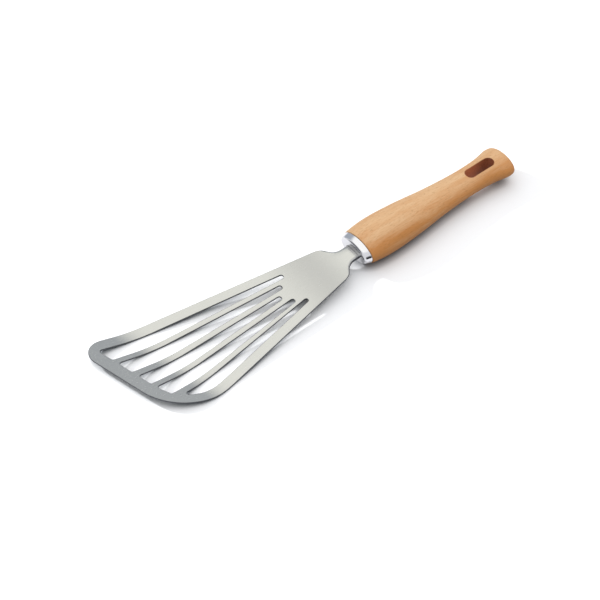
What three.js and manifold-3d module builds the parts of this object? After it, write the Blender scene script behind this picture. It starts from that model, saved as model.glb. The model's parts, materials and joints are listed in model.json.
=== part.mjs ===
// Flexible turner: a slotted spring-steel blade with a turned-up lip, an oval steel cap and a beech handle.
// Lengths are in millimetres.
// +X runs along the handle to its butt, +Y across the blade, +Z up from the table.
import * as THREE from 'three';
import { mergeVertices } from 'three/addons/utils/BufferGeometryUtils.js';
import Module from 'manifold-3d';

const wasm = await Module();
wasm.setup();

const radians = THREE.MathUtils.degToRad;

// Fits and smoothness
const clearance = 0.3;                   // gap left where one piece meets another
const cornerSteps = 5;                   // half the steps in each rounded corner
const archSteps = 12;                    // steps across and along the arched neck
const ovalSteps = 56;                    // facets round the handle and the cap
const reach = 110;                       // half size of raw stock that is trimmed to an outline
const overcut = 5;                       // cutters run this far past the faces they open
const weldDistance = 1e-5;               // points nearer than this are one point

// Blade sheet. Its plan is measured from the bend at the neck, in the plane of the flat sheet.
const sheet = 1.2;                       // thickness of the steel
const bladeDrop = radians(4.4);          // slope of the flat sheet below the handle's axis
const neckBendX = -8.2;                  // the neck's bend lies this far in front of the wood
const neckBendRun = 1.5;                 // half the length over which the sheet bends at the neck
const neckRise = 0.6;                    // top of the flat sheet over the handle's axis, at the neck's bend
const neckHalf = 6.2;                    // half width of neck and tang
const archRadius = 9;                    // neck and tang are pressed to an arch for stiffness
const archStart = -16;                   // the arch begins at the shoulder
const archFull = 0;                      // and is full at the neck's bend
const archLevel = 4.4;                   // this far off the middle the arch is level with the flat sheet
const neckRootRadius = 8.8;              // the neck widens into the shoulder in a hollow curve
const shoulderRadius = 12;
const shoulderHalf = 15;                 // half width where the flared sides begin
const farSide = { rootX: -6.2, shoulderX: -13.2, flare: radians(11.4) };
const nearSide = { rootX: -4.6, shoulderX: -12, flare: radians(9.3) };
const frontX = -171.1;                   // front edge on the blade's middle line
const frontSlant = radians(14.9);        // the front edge is cut on the slant
const farCornerRadius = 11.2;
const nearCornerRadius = 38.8;

// Lip: the sheet turns up along a line parallel to the front edge
const lipStart = 122;                    // from the neck's bend to the start of the lip's bend
const lipAngle = radians(15.5);
const lipRadius = 77.5;
const lipStock = 60;                     // straight length of lip stock before it is trimmed

// Slots: a round rear end, sides that fan out, and a front end along the rim
const slotRearWidth = 3.4;
const slotEndFlat = 0.1;                 // half the short flat left at a slot's round rear end
const slotCornerRadius = 1.7;
const frontRim = 8.7;                    // steel left in front of the slots
const sideRim = 7;                       // steel left beside the last slot and round its corner
const slots = [
  { rearX: -44.8, rearY: 13.2, frontFarY: 38.9, frontNearY: 27.3 },
  { rearX: -50.8, rearY: 7, frontFarY: 22.9, frontNearY: 11.8 },
  { rearX: -56.5, rearY: 0.4, frontFarY: 6.9, frontNearY: -3.1 },
  { rearX: -51.2, rearY: -6.6, frontFarY: -7.1, frontNearY: -17 },
];
const cornerSlot = { rearX: -44.4, rearFarY: -10.3, frontFarY: -22.8, tipRun: 3, tipRadius: 1.4 };

// Handle: distance behind the cap, half width and half height of its oval
const handleStations = [
  [0, 14.8, 8.4],
  [9.2, 15.8, 10.1],
  [20.4, 16, 11],
  [40.8, 14.9, 9.9],
  [67.3, 12.2, 7.9],
  [93.8, 10.8, 7],
  [112.2, 11.4, 7.5],
  [123.4, 13.6, 7.2],
];
const handleRings = 34;
const easedEdge = 0.5;                   // softened edge of the wood at the cap
const buttLength = 7.8;                  // rounded end beyond the last station
const buttSquareness = 4.3;              // power of the rounded end: 2 is an ellipse, more is squarer
const buttEndTurn = radians(85.3);       // the rounding stops here and a flat closes the end
const buttRings = 9;

// Hang slot through the handle
const hangSlotX = 107.4;
const hangSlotRun = 8.2;                 // half the straight length
const hangSlotRadius = 4.1;

// Cap: an oval shell that narrows to a flat front
const capLength = 5.1;
const capWall = 1;
const capRear = [14.4, 8];               // half width and half height at the wood
const capFront = [12.7, 6.6];
const capEdge = 0.8;                     // rounding of the front edge
const capEdgeRings = 4;

// Tang and its mortise
const tangDepth = 48;                    // reach of the tang into the wood
const tangEndRadius = 2;
const adhesiveWall = 1.6;                // resin round the tang
const mortiseEnd = 4;                    // wood beyond the tang's end that is bored out

// Lying on the table, the turner rolls to its short side until the slanted lip bend is level.
const restRoll = Math.atan(Math.tan(bladeDrop) * Math.tan(frontSlant));

// Turns a closed three.js geometry into a solid that can be joined and cut.
function toSolid(geometry) {
  const bare = geometry.clone();
  bare.deleteAttribute('normal');
  bare.deleteAttribute('uv');
  const welded = mergeVertices(bare, weldDistance);
  const mesh = new wasm.Mesh({
    numProp: 3,
    vertProperties: new Float32Array(welded.attributes.position.array),
    triVerts: new Uint32Array(welded.index.array),
  });
  return new wasm.Manifold(mesh);
}

// Turns a solid back into a three.js geometry.
function toGeometry(solid) {
  const mesh = solid.getMesh();
  const geometry = new THREE.BufferGeometry();
  geometry.setAttribute('position', new THREE.BufferAttribute(new Float32Array(mesh.vertProperties), 3));
  geometry.setIndex(new THREE.BufferAttribute(new Uint32Array(mesh.triVerts), 1));
  geometry.computeVertexNormals();
  return geometry;
}

// Draws a closed outline through the corners, each rounded to its own radius.
function roundedOutline(path, corners) {
  corners.forEach((corner, i) => {
    const at = new THREE.Vector2(corner.x, corner.y);
    const before = corners[(i + corners.length - 1) % corners.length];
    const after = corners[(i + 1) % corners.length];
    const back = new THREE.Vector2(before.x, before.y).sub(at).normalize();
    const ahead = new THREE.Vector2(after.x, after.y).sub(at).normalize();
    const halfAngle = Math.acos(THREE.MathUtils.clamp(back.dot(ahead), -1, 1)) / 2;
    const start = at.clone().addScaledVector(back, corner.radius / Math.tan(halfAngle));
    const end = at.clone().addScaledVector(ahead, corner.radius / Math.tan(halfAngle));
    const middle = back.clone().add(ahead).normalize();
    const centre = at.clone().addScaledVector(middle, corner.radius / Math.sin(halfAngle));
    const clockwise = back.cross(ahead) > 0;
    if (i === 0) {
      path.moveTo(start.x, start.y);
    } else {
      path.lineTo(start.x, start.y);
    }
    const from = start.clone().sub(centre).angle();
    const to = end.clone().sub(centre).angle();
    path.absarc(centre.x, centre.y, corner.radius, from, to, clockwise);
  });
  path.closePath();
  return path;
}

// Point where two lines meet; each line is a point and a direction.
function meet(a, b) {
  const across = a.dir.x * b.dir.y - a.dir.y * b.dir.x;
  const gap = b.at.clone().sub(a.at);
  const along = (gap.x * b.dir.y - gap.y * b.dir.x) / across;
  return a.at.clone().addScaledVector(a.dir, along);
}

function line(x, y, dirX, dirY) {
  return { at: new THREE.Vector2(x, y), dir: new THREE.Vector2(dirX, dirY).normalize() };
}

function corner(point, radius) {
  return { x: point.x, y: point.y, radius };
}

// Straight edges of the blade's plan
const farEdge = line(farSide.shoulderX, shoulderHalf, -1, Math.tan(farSide.flare));
const nearEdge = line(nearSide.shoulderX, -shoulderHalf, -1, -Math.tan(nearSide.flare));
const nearInward = new THREE.Vector2(-Math.sin(nearSide.flare), Math.cos(nearSide.flare));
const frontEdge = line(frontX, 0, -Math.sin(frontSlant), Math.cos(frontSlant));
const slotFront = line(frontX + frontRim / Math.cos(frontSlant), 0, frontEdge.dir.x, frontEdge.dir.y);

// Centre of the large rounded corner, from the two edges it blends
function nearCornerCentre() {
  const frontInward = new THREE.Vector2(Math.cos(frontSlant), Math.sin(frontSlant));
  const frontAt = frontEdge.at.clone().addScaledVector(frontInward, nearCornerRadius);
  const front = { at: frontAt, dir: frontEdge.dir };
  const nearAt = nearEdge.at.clone().addScaledVector(nearInward, nearCornerRadius);
  const near = { at: nearAt, dir: nearEdge.dir };
  return meet(front, near);
}

function bladeOutline(tangEndX) {
  const corners = [
    corner({ x: tangEndX, y: neckHalf }, tangEndRadius),
    corner({ x: farSide.rootX, y: neckHalf }, neckRootRadius),
    corner({ x: farSide.shoulderX, y: shoulderHalf }, shoulderRadius),
    corner(meet(farEdge, frontEdge), farCornerRadius),
    corner(meet(frontEdge, nearEdge), nearCornerRadius),
    corner({ x: nearSide.shoulderX, y: -shoulderHalf }, shoulderRadius),
    corner({ x: nearSide.rootX, y: -neckHalf }, neckRootRadius),
    corner({ x: tangEndX, y: -neckHalf }, tangEndRadius),
  ];
  return roundedOutline(new THREE.Shape(), corners);
}

function fanSlot(slot) {
  const half = slotRearWidth / 2;
  const rearRadius = half - slotEndFlat;
  const frontFar = slotFrontAt(slot.frontFarY);
  const frontNear = slotFrontAt(slot.frontNearY);
  const corners = [
    corner({ x: slot.rearX, y: slot.rearY + half }, rearRadius),
    corner(frontFar, slotCornerRadius),
    corner(frontNear, slotCornerRadius),
    corner({ x: slot.rearX, y: slot.rearY - half }, rearRadius),
  ];
  return roundedOutline(new THREE.Path(), corners);
}

// Point of the slots' front line at a given place across the blade, kept inside the rim of the large corner
function slotFrontAt(y) {
  const onLine = slotFront.at.x + (y - slotFront.at.y) * slotFront.dir.x / slotFront.dir.y;
  const centre = nearCornerCentre();
  const radius = nearCornerRadius - sideRim;
  if (y > centre.y) {
    return new THREE.Vector2(onLine, y);
  }
  const onArc = centre.x - Math.sqrt(radius ** 2 - (y - centre.y) ** 2);
  return new THREE.Vector2(Math.max(onLine, onArc), y);
}

// The last slot follows the short side and the large corner at an even distance.
function roundCornerSlot() {
  const centre = nearCornerCentre();
  const radius = nearCornerRadius - sideRim;
  const tip = slotFrontAt(cornerSlot.frontFarY);
  const spoke = tip.clone().sub(centre).normalize();
  const tipTangent = new THREE.Vector2(-spoke.y, spoke.x);
  const innerSide = { at: nearEdge.at.clone().addScaledVector(nearInward, sideRim), dir: nearEdge.dir };
  const tipLine = { at: tip, dir: tipTangent };
  const tipEnd = tip.clone().addScaledVector(tipTangent, -cornerSlot.tipRun);
  const rearLine = line(cornerSlot.rearX, cornerSlot.rearFarY, 0, 1);
  const rearNear = meet(rearLine, innerSide);
  const rearRadius = (cornerSlot.rearFarY - rearNear.y) / 2 - slotEndFlat;
  const corners = [
    corner(rearLine.at, rearRadius),
    corner(tipEnd, cornerSlot.tipRadius),
    corner(meet(tipLine, innerSide), radius),
    corner(rearNear, rearRadius),
  ];
  return roundedOutline(new THREE.Path(), corners);
}

// Stock bent to a side profile and as wide as the reach both ways.
function bentStock(profile) {
  const stock = new THREE.ExtrudeGeometry(profile, {
    depth: 2 * reach,
    bevelEnabled: false,
    curveSegments: cornerSteps,
  });
  stock.translate(0, 0, -reach);
  stock.rotateX(Math.PI / 2);
  return stock;
}

// How strongly the sheet is arched across, at a place along the blade
function archCurve(x) {
  return THREE.MathUtils.smoothstep(x, archStart, archFull) / archRadius;
}

// Height of the sheet's top above the flat blade, and its upright thickness there
function neckTop(x, y) {
  const arch = archCurve(x) * (archLevel ** 2 - y ** 2) / 2;
  const bent = THREE.MathUtils.clamp(x + neckBendRun, 0, 2 * neckBendRun);
  const bend = bent ** 2 / (4 * neckBendRun) + Math.max(x - neckBendRun, 0);
  return arch - Math.tan(bladeDrop) * bend;
}

function uprightThickness(x, y) {
  return sheet * Math.hypot(1, archCurve(x) * y);
}

// Sheet stock over a grid of places, with top and underside following the neck's shape
function neckStock(xs, ys) {
  const positions = [];
  const indices = [];
  const rows = ys.length;
  const layer = xs.length * rows;
  [0, 1].forEach((under) => {
    xs.forEach((x) => {
      ys.forEach((y) => positions.push(x, y, neckTop(x, y) - under * uprightThickness(x, y)));
    });
  });
  const quad = (a, b, c, d) => indices.push(a, b, c, a, c, d);
  for (let i = 0; i < xs.length - 1; i += 1) {
    for (let j = 0; j < rows - 1; j += 1) {
      const a = i * rows + j;
      quad(a, a + rows, a + rows + 1, a + 1);
      quad(layer + a, layer + a + 1, layer + a + rows + 1, layer + a + rows);
    }
    const low = i * rows;
    const high = low + rows - 1;
    quad(low, layer + low, layer + low + rows, low + rows);
    quad(high, high + rows, layer + high + rows, layer + high);
  }
  for (let j = 0; j < rows - 1; j += 1) {
    const last = layer - rows + j;
    quad(j, j + 1, layer + j + 1, layer + j);
    quad(last, layer + last, layer + last + 1, last + 1);
  }
  const geometry = new THREE.BufferGeometry();
  geometry.setAttribute('position', new THREE.BufferAttribute(new Float32Array(positions), 3));
  geometry.setIndex(indices);
  return geometry;
}

// Evenly spaced places from one value to another, both included
function spread(from, to, steps) {
  return Array.from({ length: steps + 1 }, (_, i) => from + (to - from) * i / steps);
}

// Top and underside of the arched tang, from the handle's axis
const tangTop = (y) => (archLevel ** 2 - y ** 2) / (2 * archRadius) + neckRise;
const tangUnder = (y) => tangTop(y) - sheet * Math.hypot(1, y / archRadius);
const tangHalfHeight = Math.max(tangTop(0), -tangUnder(neckHalf));

// Section of the arched tang, widened all round by a clearance, drawn across Y and Z
function archSection(spare) {
  const half = neckHalf + spare;
  const places = spread(-half, half, archSteps);
  const upper = places.map((y) => new THREE.Vector2(y, tangTop(y) + spare));
  const lower = places.map((y) => new THREE.Vector2(y, tangUnder(y) - spare));
  return new THREE.Shape([...upper, ...lower.reverse()]);
}

// Bar along X with a given section across Y and Z
function barAlongX(section, startX, endX) {
  const bar = new THREE.ExtrudeGeometry(section, {
    depth: endX - startX,
    bevelEnabled: false,
    curveSegments: cornerSteps,
  });
  bar.rotateX(Math.PI / 2);
  bar.rotateZ(Math.PI / 2);
  bar.translate(startX, 0, 0);
  return bar;
}

// Flat sheet and upturned lip, seen along the lip's bend
function lipProfile() {
  const end = new THREE.Vector2(-Math.cos(lipAngle), Math.sin(lipAngle)).multiplyScalar(lipStock);
  const down = -Math.PI / 2;
  const bent = down - lipAngle;
  const spoke = new THREE.Vector2(-Math.sin(lipAngle), -Math.cos(lipAngle));
  const top = spoke.clone().multiplyScalar(lipRadius);
  const under = spoke.clone().multiplyScalar(lipRadius + sheet);
  const profile = new THREE.Shape();
  profile.moveTo(reach, 0);
  profile.lineTo(0, 0);
  profile.absarc(0, lipRadius, lipRadius, down, bent, true);
  profile.lineTo(top.x + end.x, lipRadius + top.y + end.y);
  profile.lineTo(under.x + end.x, lipRadius + under.y + end.y);
  profile.absarc(0, lipRadius, lipRadius + sheet, bent, down, false);
  profile.lineTo(reach, -sheet);
  profile.closePath();
  return profile;
}

function bladeGeometry() {
  const tangRun = tangDepth - neckBendX;
  const alongX = [-reach, ...spread(archStart, archFull, archSteps), neckBendRun, reach];
  const acrossY = [-reach, ...spread(-shoulderHalf, shoulderHalf, 2 * archSteps), reach];
  const rear = neckStock(alongX, acrossY);
  const front = bentStock(lipProfile());
  front.translate(-lipStart, 0, 0);
  front.rotateZ(frontSlant);
  const plan = bladeOutline(tangRun);
  plan.holes = slots.map(fanSlot);
  plan.holes.push(roundCornerSlot());
  const cutter = new THREE.ExtrudeGeometry(plan, {
    depth: 2 * reach,
    bevelEnabled: false,
    curveSegments: cornerSteps,
  });
  cutter.translate(0, 0, -reach);
  const blank = toSolid(rear).add(toSolid(front));
  const blade = toGeometry(blank.intersect(toSolid(cutter)));
  blade.rotateY(-bladeDrop);
  blade.translate(neckBendX, 0, neckRise);
  return blade;
}

// Closed body through a row of ovals; each ring is its place along X, half width and half height.
function ovalBody(rings) {
  const positions = [];
  const indices = [];
  rings.forEach(([x, halfWidth, halfHeight]) => {
    for (let i = 0; i < ovalSteps; i += 1) {
      const turn = 2 * Math.PI * i / ovalSteps;
      positions.push(x, halfWidth * Math.cos(turn), halfHeight * Math.sin(turn));
    }
  });
  for (let ring = 0; ring < rings.length - 1; ring += 1) {
    for (let i = 0; i < ovalSteps; i += 1) {
      const a = ring * ovalSteps + i;
      const b = ring * ovalSteps + (i + 1) % ovalSteps;
      indices.push(a, b, a + ovalSteps);
      indices.push(b, b + ovalSteps, a + ovalSteps);
    }
  }
  const frontCentre = positions.length / 3;
  positions.push(rings[0][0], 0, 0);
  const rearCentre = frontCentre + 1;
  positions.push(rings[rings.length - 1][0], 0, 0);
  const lastRing = (rings.length - 1) * ovalSteps;
  for (let i = 0; i < ovalSteps; i += 1) {
    const next = (i + 1) % ovalSteps;
    indices.push(frontCentre, next, i);
    indices.push(rearCentre, lastRing + i, lastRing + next);
  }
  const geometry = new THREE.BufferGeometry();
  geometry.setAttribute('position', new THREE.BufferAttribute(new Float32Array(positions), 3));
  geometry.setIndex(indices);
  return geometry;
}

// Section with round sides, for the mortise and the resin in it
function roundSidedSection(halfWidth, halfHeight) {
  const run = halfWidth - halfHeight;
  const section = new THREE.Shape();
  section.moveTo(-run, -halfHeight);
  section.lineTo(run, -halfHeight);
  section.absarc(run, 0, halfHeight, -Math.PI / 2, Math.PI / 2, false);
  section.lineTo(-run, halfHeight);
  section.absarc(-run, 0, halfHeight, Math.PI / 2, 1.5 * Math.PI, false);
  return section;
}

const resinHalf = [neckHalf, tangHalfHeight].map((half) => half + clearance + adhesiveWall);
const mortiseHalf = resinHalf.map((half) => half + clearance);

function gripRings() {
  const stations = handleStations.map(([x, width, height]) => new THREE.Vector3(x, width, height));
  const run = new THREE.CatmullRomCurve3(stations).getPoints(handleRings);
  const rings = run.map((point) => [point.x + clearance, point.y, point.z]);
  const [, frontWidth, frontHeight] = rings[0];
  rings[0] = [clearance + easedEdge, frontWidth, frontHeight];
  rings.unshift([clearance, frontWidth - easedEdge, frontHeight - easedEdge]);
  const [lastX, lastWidth, lastHeight] = rings[rings.length - 1];
  for (let i = 1; i <= buttRings; i += 1) {
    const turn = buttEndTurn * i / buttRings;
    const along = Math.sin(turn) ** (2 / buttSquareness);
    const across = Math.cos(turn) ** (2 / buttSquareness);
    rings.push([lastX + buttLength * along, lastWidth * across, lastHeight * across]);
  }
  return rings;
}

const capTaper = (x) => [0, 1].map((i) => capRear[i] + (capFront[i] - capRear[i]) * -x / capLength);

function handleGeometry() {
  const grip = toSolid(ovalBody(gripRings()));
  const tenonFrontX = -capLength + capWall + clearance;
  const tenonHalf = capTaper(tenonFrontX).map((half) => half - capWall - clearance);
  const tenon = toSolid(ovalBody([
    [tenonFrontX, ...tenonHalf],
    [clearance + easedEdge, ...tenonHalf],
  ]));
  const mortiseSection = roundSidedSection(...mortiseHalf);
  const mortise = toSolid(barAlongX(mortiseSection, -capLength - overcut, tangDepth + mortiseEnd));
  const slotCorner = hangSlotRun + hangSlotRadius;
  const slotPlan = roundedOutline(new THREE.Shape(), [
    corner({ x: hangSlotX + slotCorner, y: hangSlotRadius }, hangSlotRadius),
    corner({ x: hangSlotX - slotCorner, y: hangSlotRadius }, hangSlotRadius),
    corner({ x: hangSlotX - slotCorner, y: -hangSlotRadius }, hangSlotRadius),
    corner({ x: hangSlotX + slotCorner, y: -hangSlotRadius }, hangSlotRadius),
  ]);
  const hangSlot = new THREE.ExtrudeGeometry(slotPlan, {
    depth: 2 * reach,
    bevelEnabled: false,
    curveSegments: cornerSteps,
  });
  hangSlot.translate(0, 0, -reach);
  return toGeometry(grip.add(tenon).subtract(mortise).subtract(toSolid(hangSlot)));
}

function capGeometry() {
  const outer = [];
  for (let i = 0; i <= capEdgeRings; i += 1) {
    const turn = Math.PI / 2 * i / capEdgeRings;
    const x = -capLength + capEdge * (1 - Math.cos(turn));
    const inset = capEdge * (1 - Math.sin(turn));
    outer.push([x, ...capTaper(x).map((half) => half - inset)]);
  }
  outer.push([0, ...capRear]);
  const shell = toSolid(ovalBody(outer));
  const hollowFrontX = -capLength + capWall;
  const hollow = toSolid(ovalBody([
    [hollowFrontX, ...capTaper(hollowFrontX).map((half) => half - capWall)],
    [overcut, ...capRear.map((half) => half - capWall)],
  ]));
  const neckSlot = barAlongX(archSection(clearance), -capLength - overcut, 0);
  return toGeometry(shell.subtract(hollow).subtract(toSolid(neckSlot)));
}

function adhesiveGeometry() {
  const fillFrontX = -capLength + capWall + 2 * clearance;
  const fillRearX = tangDepth + mortiseEnd - clearance;
  const fill = toSolid(barAlongX(roundSidedSection(...resinHalf), fillFrontX, fillRearX));
  const pocket = barAlongX(archSection(clearance), -capLength - overcut, tangDepth + clearance);
  return toGeometry(fill.subtract(toSolid(pocket)));
}

// Materials
const satinSteel = new THREE.MeshStandardMaterial({ color: 0xc9c9c4, roughness: 0.35, metalness: 1 });
const polishedSteel = new THREE.MeshStandardMaterial({ color: 0xdcdce0, roughness: 0.12, metalness: 1 });
const beech = new THREE.MeshStandardMaterial({ color: 0xcda073, roughness: 0.55, metalness: 0 });
const resin = new THREE.MeshStandardMaterial({ color: 0xd8c9a0, roughness: 0.4, metalness: 0 });

// Pieces
const turner = new THREE.Group();
turner.name = 'flexible_turner';
const pieces = [
  ['blade', bladeGeometry(), satinSteel],
  ['ferrule', capGeometry(), polishedSteel],
  ['handle', handleGeometry(), beech],
  ['tang_adhesive', adhesiveGeometry(), resin],
];
pieces.forEach(([name, geometry, material]) => {
  geometry.rotateX(restRoll);
  const mesh = new THREE.Mesh(geometry, material);
  mesh.name = name;
  turner.add(mesh);
});

function lowestPoint(name) {
  const places = turner.getObjectByName(name).geometry.attributes.position;
  const point = new THREE.Vector3();
  const lowest = new THREE.Vector3(0, 0, Infinity);
  for (let i = 0; i < places.count; i += 1) {
    point.fromBufferAttribute(places, i);
    if (point.z < lowest.z) {
      lowest.copy(point);
    }
  }
  return lowest;
}

// The turner lies on the lip's bend and on the handle's belly, with the origin under the middle of its box.
const rise = lowestPoint('blade').sub(lowestPoint('handle'));
const restPitch = Math.atan(rise.z / rise.x);
turner.children.forEach((mesh) => mesh.geometry.rotateY(restPitch));
const box = new THREE.Box3().setFromObject(turner);
const middle = box.getCenter(new THREE.Vector3());
turner.children.forEach((mesh) => mesh.geometry.translate(-middle.x, -middle.y, -box.min.z));

export default turner;
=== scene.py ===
"""Flexible turner: a slotted steel blade, a polished steel cap and a beech handle, lying on a white table.

Every piece is modelled in the turner's own axes, with X along the handle from the joint of cap and wood and
the blade towards -X, and is then laid where the turner rests on the table. Lengths are in metres.
"""

import json
import math

import bmesh
import bpy
from bpy.props import FloatProperty, FloatVectorProperty, IntProperty, PointerProperty
from mathutils import Color, Matrix, Quaternion, Vector
from mathutils.geometry import interpolate_bezier


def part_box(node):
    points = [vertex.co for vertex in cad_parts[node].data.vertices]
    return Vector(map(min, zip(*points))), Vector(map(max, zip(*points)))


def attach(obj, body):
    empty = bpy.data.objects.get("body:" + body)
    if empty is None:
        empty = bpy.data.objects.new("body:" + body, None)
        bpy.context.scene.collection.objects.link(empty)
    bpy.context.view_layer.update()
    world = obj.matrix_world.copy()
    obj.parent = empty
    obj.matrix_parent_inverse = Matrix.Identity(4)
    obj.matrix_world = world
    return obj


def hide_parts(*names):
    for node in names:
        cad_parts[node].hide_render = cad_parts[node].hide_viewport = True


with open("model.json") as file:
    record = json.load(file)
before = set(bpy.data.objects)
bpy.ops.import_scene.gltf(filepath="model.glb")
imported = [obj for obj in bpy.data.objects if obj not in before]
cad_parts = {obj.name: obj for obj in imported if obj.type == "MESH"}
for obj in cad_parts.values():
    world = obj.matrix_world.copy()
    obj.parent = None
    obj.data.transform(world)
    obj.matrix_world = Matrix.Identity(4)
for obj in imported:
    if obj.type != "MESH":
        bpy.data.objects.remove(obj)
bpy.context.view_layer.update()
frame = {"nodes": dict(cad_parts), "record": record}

bl_info = {
    "name": "Flexible Turner",
    "version": (1, 0, 0),
    "blender": (4, 5, 0),
    "location": "3D View > Sidebar > Turner",
    "description": "Models a slotted flexible turner with a wooden handle",
    "category": "Add Mesh",
}

MM = 0.001
TOUCH = 0.01 * MM                # places nearer than this are one place
QUARTER = math.pi / 2
FLAT_ANGLE = math.radians(1)     # faces that tilt less than this to each other are one flat face
WHITE = (1, 1, 1, 1)
NOISE_SPAN = {"From Min": 0.3, "From Max": 0.7}     # most of a noise texture's values lie in this span
MIX_PART, MIX_FIRST, MIX_SECOND = 0, 6, 7           # inputs of a Mix node that mixes colours
MIX_COLOUR = 2                                      # and its output


def linear(hex_colour):
    """Turns an sRGB hex colour into linear red, green, blue and alpha."""
    channels = [int(hex_colour[i:i + 2], 16) / 255 for i in (1, 3, 5)]
    return (*Color(channels).from_srgb_to_scene_linear(), 1.0)


def length(name, description, millimetres):
    """A length that the user can change."""
    return FloatProperty(
        name=name, description=description, default=millimetres * MM, unit='LENGTH', precision=5)


def lengths(name, description, *millimetres):
    """A row of lengths that belong together."""
    default = [value * MM for value in millimetres]
    return FloatVectorProperty(
        name=name, description=description, size=len(default), default=default, unit='LENGTH', precision=5)


def direction(name, description, *parts):
    """A direction that the user can change."""
    return FloatVectorProperty(name=name, description=description, size=3, default=parts, subtype='DIRECTION')


def turn(name, description, degrees):
    """An angle that the user can change."""
    return FloatProperty(name=name, description=description, default=math.radians(degrees), subtype='ANGLE')


def number(name, description, value):
    """A plain number that the user can change."""
    return FloatProperty(name=name, description=description, default=value)


def numbers(name, description, *values):
    """A row of plain numbers that belong together."""
    return FloatVectorProperty(name=name, description=description, size=len(values), default=values)


def count(name, description, value):
    """A whole number that the user can change."""
    return IntProperty(name=name, description=description, default=value)


def colour(name, description, hex_colour):
    """A colour that the user can change."""
    return FloatVectorProperty(
        name=name, description=description, size=4, default=linear(hex_colour), min=0, max=1, subtype='COLOR')


class BladeSizes(bpy.types.PropertyGroup):
    """Sizes of the sheet steel blade; its plan is measured from the bend at the neck"""

    sheet: length("Sheet", "Thickness of the steel", 1.2)
    edge_round: length("Edge round", "Rounding of the tumbled cut edges", 0.25)
    drop: turn("Drop", "Slope of the flat sheet below the handle's axis", 4.4)
    bend_x: length("Neck bend", "Place of the neck's bend along the handle's axis", -8.2)
    bend_run: length("Bend run", "Half the length over which the neck bends", 1.5)
    neck_rise: length("Neck rise", "Top of the flat sheet over the handle's axis at the bend", 0.6)
    neck_half: length("Neck half", "Half width of neck and tang", 6.2)
    arch_radius: length("Arch radius", "Radius of the arch across the hidden tang", 9)
    arch_level: length("Arch level", "The arch is level with the flat sheet this far off the middle", 4.4)
    arch_start: length("Arch start", "Place where neck and arch begin at the shoulder", -16)
    arch_full: length("Arch full", "Place where neck and arch are full", 0)
    fine_from: length("Fine from", "Place in front of the neck where the finer rows begin", -20)
    crown: length("Crown", "Height of the neck's middle over the flat sheet", 0.6)
    crown_radius: length("Crown radius", "Radius across the neck's top", 30)
    flank_drop: length("Flank drop", "How far the neck's sides turn down", 1)
    flank_width: length("Flank width", "Width of the neck's turned-down sides", 1.65)
    flank_start: length("Flank start", "Place where the sides begin to turn down", -14)
    flank_full: length("Flank full", "Place where the sides are fully turned down", -8)
    tang_from: length("Tang from", "Place inside the cap where the neck turns into the tang", 3.3)
    tang_full: length("Tang full", "Place inside the cap where the tang has its full arch", 6)
    root_radius: length("Root radius", "Hollow curve from neck to shoulder", 8.8)
    shoulder_radius: length("Shoulder radius", "Round of the shoulder", 12)
    shoulder_half: length("Shoulder half", "Half width where the flared sides begin", 15)
    far_root_x: length("Far root", "Place of the far side's hollow curve", -6.2)
    far_shoulder_x: length("Far shoulder", "Place of the far shoulder", -13.2)
    far_flare: turn("Far flare", "Flare of the far side", 11.4)
    near_root_x: length("Near root", "Place of the near side's hollow curve", -4.6)
    near_shoulder_x: length("Near shoulder", "Place of the near shoulder", -12)
    near_flare: turn("Near flare", "Flare of the near side", 9.3)
    front_x: length("Front", "Front edge on the blade's middle line", -171.1)
    front_slant: turn("Front slant", "Slant of the front edge", 14.9)
    far_corner: length("Far corner", "Radius of the far front corner", 11.2)
    near_corner: length("Near corner", "Radius of the near front corner", 38.8)
    lip_start: length("Lip start", "From the neck's bend to the start of the lip's bend", 122)
    lip_angle: turn("Lip angle", "Angle by which the lip turns up", 15.5)
    lip_radius: length("Lip radius", "Radius of the lip's bend", 77.5)
    slot_width: length("Slot width", "Width of a slot at its rear end", 3.4)
    slot_flat: length("Slot flat", "Half the short flat left at a slot's round rear end", 0.1)
    slot_corner: length("Slot corner", "Radius of a slot's front corners", 1.7)
    front_rim: length("Front rim", "Steel left in front of the slots", 8.7)
    side_rim: length("Side rim", "Steel left beside the last slot", 7)
    slot_1: lengths("Slot 1", "Rear place, rear middle, far and near front corner", -44.8, 13.2, 38.9, 27.3)
    slot_2: lengths("Slot 2", "Rear place, rear middle, far and near front corner", -50.8, 7, 22.9, 11.8)
    slot_3: lengths("Slot 3", "Rear place, rear middle, far and near front corner", -56.5, 0.4, 6.9, -3.1)
    slot_4: lengths("Slot 4", "Rear place, rear middle, far and near front corner", -51.2, -6.6, -7.1, -17)
    last_slot: lengths("Last slot", "Rear place, rear far corner, far front corner", -44.4, -10.3, -22.8)
    last_tip_run: length("Tip run", "Straight end of the last slot's tip", 3)
    last_tip_radius: length("Tip radius", "Round of the last slot's tip", 1.4)
    tang_depth: length("Tang depth", "Reach of the tang into the wood", 48)
    tang_corner: length("Tang corner", "Round of the tang's end", 2)
    crease: turn("Crease", "Bends sharper than this show as edges", 12)
    edge_steps: count("Edge steps", "Steps in the rounding of the cut edges", 3)
    corner_steps: count("Corner steps", "Steps in each rounded corner", 12)
    lip_steps: count("Lip steps", "Steps in the lip's bend", 18)
    arch_steps: count("Arch steps", "Steps along and across the arch", 24)
    flank_steps: count("Flank steps", "Steps across the turned-down sides", 4)


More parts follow.
